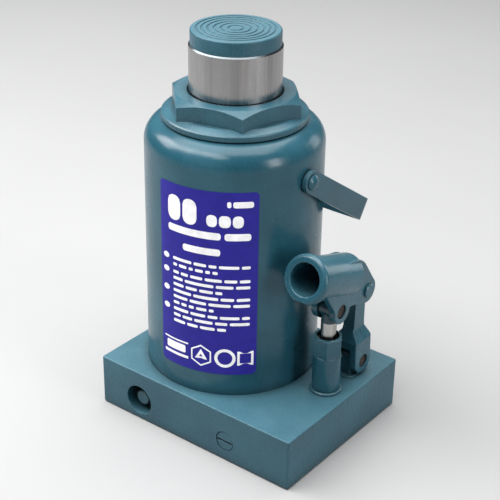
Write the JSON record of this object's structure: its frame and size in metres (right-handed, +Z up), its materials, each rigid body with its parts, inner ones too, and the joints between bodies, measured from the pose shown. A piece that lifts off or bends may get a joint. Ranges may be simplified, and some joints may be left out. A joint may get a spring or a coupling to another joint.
{
  "type": "hydraulic bottle jack",
  "caption": "Hydraulic bottle jack with a round oil tank on a block base, a polished ram under a saddle, a pump with a handle socket, and a carry handle.",
  "frame": {"origin": "on the ram's axis, at the flat underside of the base", "axes": "+Z up along the ram, -Y to the front face with the release valve and the socket's mouth, +X towards the pump"},
  "size_m": [0.1719, 0.1438, 0.285],
  "materials": {
    "painted_casting": "glossy enamel over a cast surface",
    "painted_tank": "glossy enamel with slight orange peel",
    "painted_nut": "glossy enamel over machined steel",
    "painted_pump": "glossy enamel",
    "painted_link": "glossy enamel over a casting",
    "painted_socket": "glossy enamel over a casting",
    "painted_saddle": "glossy enamel over turned grooves",
    "painted_handle": "glossy enamel over strip steel",
    "ground_steel": "ground and polished",
    "plunger_steel": "ground, with paint over its eye",
    "valve_spindle_paint": "painted where it shows, bare inside",
    "machined_steel": "turned",
    "dark_steel": "dark, oily, lightly rusted",
    "valve_ball_steel": "polished",
    "copper_gasket": "annealed copper",
    "seal_rubber": "matt black",
    "seal_polyurethane": "translucent amber",
    "guide_ring_plastic": "filled nylon",
    "label_vinyl": "printed vinyl, deep blue"
  },
  "bodies": {
    "root": {"base": "painted_casting", "link_bracket": "painted_casting", "gallery_plug": "painted_casting", "gallery_divider_ball": "valve_ball_steel", "cylinder_gasket": "copper_gasket", "pressure_cylinder": "machined_steel", "reservoir_tank": "painted_tank", "tank_lower_seal": "seal_rubber", "tank_upper_seal": "seal_rubber", "oil_filler_plug": "seal_rubber", "top_nut": "painted_nut", "ram_guide_ring": "guide_ring_plastic", "ram_oil_seal": "seal_rubber", "ram_wiper": "seal_rubber", "label": "label_vinyl", "handle_studs": "painted_tank", "pump_barrel": "painted_pump", "pump_foot_seal": "copper_gasket", "pump_washer": "painted_casting", "plunger_seal": "seal_polyurethane", "plunger_gland_nut": "machined_steel", "suction_ball_cage": "machined_steel", "release_gland_nut": "valve_spindle_paint", "release_seal": "seal_rubber", "overload_spring": "dark_steel", "overload_screw": "painted_casting"},
    "ram": {"ram_rod": "ground_steel", "piston_ring": "machined_steel", "piston_cup_seal": "seal_polyurethane", "seal_retainer_plate": "machined_steel", "retainer_screw": "dark_steel", "saddle": "painted_saddle"},
    "carry_handle": {"carry_handle": "painted_handle"},
    "pump_link": {"pump_link": "painted_link", "lug_pin": "dark_steel"},
    "handle_socket": {"handle_socket": "painted_socket", "plunger_pin": "dark_steel", "link_pin": "painted_socket", "link_pin_circlip": "dark_steel"},
    "pump_plunger": {"pump_plunger": "plunger_steel"},
    "release_ball": {"release_ball": "valve_ball_steel"},
    "release_spindle": {"release_spindle": "valve_spindle_paint", "release_cross_pin": "dark_steel"},
    "suction_ball": {"suction_ball": "valve_ball_steel"},
    "delivery_ball": {"delivery_ball": "valve_ball_steel"},
    "overload_ball": {"overload_ball": "valve_ball_steel", "overload_pusher": "machined_steel"}
  },
  "joints": [
    {"name": "ram_lift", "type": "slide", "parent": "root", "child": "ram", "axis": [0, 0, 1], "range_m": [0, 0.17]},
    {"name": "carry_handle_swing", "type": "hinge", "parent": "root", "child": "carry_handle", "pos_m": [0, 0, 0.1933], "axis": [1, 0, 0], "range_deg": [0, 93]},
    {"name": "pump_link_swing", "type": "hinge", "parent": "root", "child": "pump_link", "pos_m": [0.084, 0.032, 0.05], "axis": [1, 0, 0], "range_deg": [-1, 1]},
    {"name": "handle_socket_swing", "type": "hinge", "parent": "pump_link", "child": "handle_socket", "pos_m": [0.084, 0.0324, 0.1078], "axis": [1, 0, 0], "range_deg": [-20, 16]},
    {"name": "pump_stroke", "type": "slide", "parent": "root", "child": "pump_plunger", "axis": [0, 0, 1], "range_m": [-0.0093, 0.0116]},
    {"name": "release_travel", "type": "slide", "parent": "root", "child": "release_ball", "axis": [0, -1, 0], "range_m": [0, 0.0015]},
    {"name": "release_turn", "type": "hinge", "parent": "release_ball", "child": "release_spindle", "pos_m": [-0.031, -0.05, 0.016], "axis": [0, -1, 0], "range_deg": [0, 360]},
    {"name": "suction_ball_lift", "type": "slide", "parent": "root", "child": "suction_ball", "axis": [0, 0, 1], "range_m": [0, 0.001]},
    {"name": "delivery_ball_lift", "type": "slide", "parent": "root", "child": "delivery_ball", "axis": [0, 0, 1], "range_m": [0, 0.001]},
    {"name": "overload_ball_lift", "type": "slide", "parent": "root", "child": "overload_ball", "axis": [0, -1, 0], "range_m": [0, 0.001], "stiffness_N_per_m": 200, "springref_m": -0.002, "deforming": ["overload_spring"]}
  ],
  "couplings": [
    {"joint": "pump_link_swing", "follows": "handle_socket_swing", "ratio": 0.0288},
    {"joint": "pump_stroke", "follows": "handle_socket_swing", "m_per_rad": -0.03284},
    {"joint": "release_turn", "follows": "release_travel", "rad_per_m": 4188.8}
  ]
}
